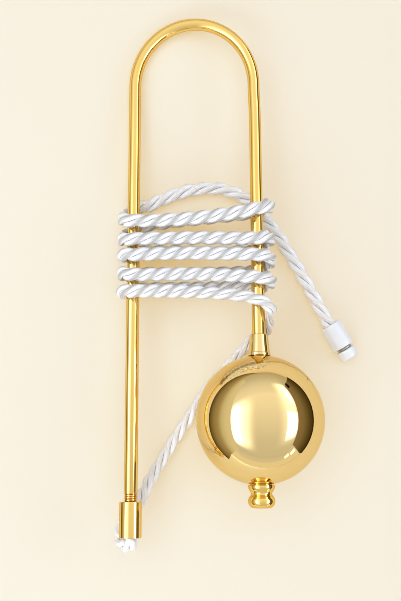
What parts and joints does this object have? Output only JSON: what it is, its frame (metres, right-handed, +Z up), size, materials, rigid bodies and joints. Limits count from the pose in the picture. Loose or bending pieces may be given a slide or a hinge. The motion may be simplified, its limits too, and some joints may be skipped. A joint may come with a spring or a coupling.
{
  "type": "curtain tieback with ball weight and wound cord",
  "caption": "Brass hairpin curtain tieback with a ball weight and turned finial on one leg, wound round both legs with a white twisted cord that ends in a plastic cap.",
  "frame": {"origin": "centre of the footprint of the bar, ball and brass fittings, on the surface that the tieback lies on", "axes": "+Y along the legs towards the arch, +X from the left leg to the right leg with the ball, +Z up from the surface"},
  "size_m": [0.1174, 0.2536, 0.0575],
  "materials": {
    "polished_brass": "mirror polished",
    "white_cord": "satin, three twisted strands",
    "white_plastic": "smooth moulded",
    "grey_metal": "satin"
  },
  "bodies": {
    "root": {"u_bar": "polished_brass", "end_ferrule": "polished_brass", "ball_collar": "polished_brass", "ball": "polished_brass", "finial": "polished_brass", "tie_cord": "white_cord", "cord_cap": "white_plastic", "cap_neck": "grey_metal", "cap_button": "white_plastic"}
  },
  "joints": []
}
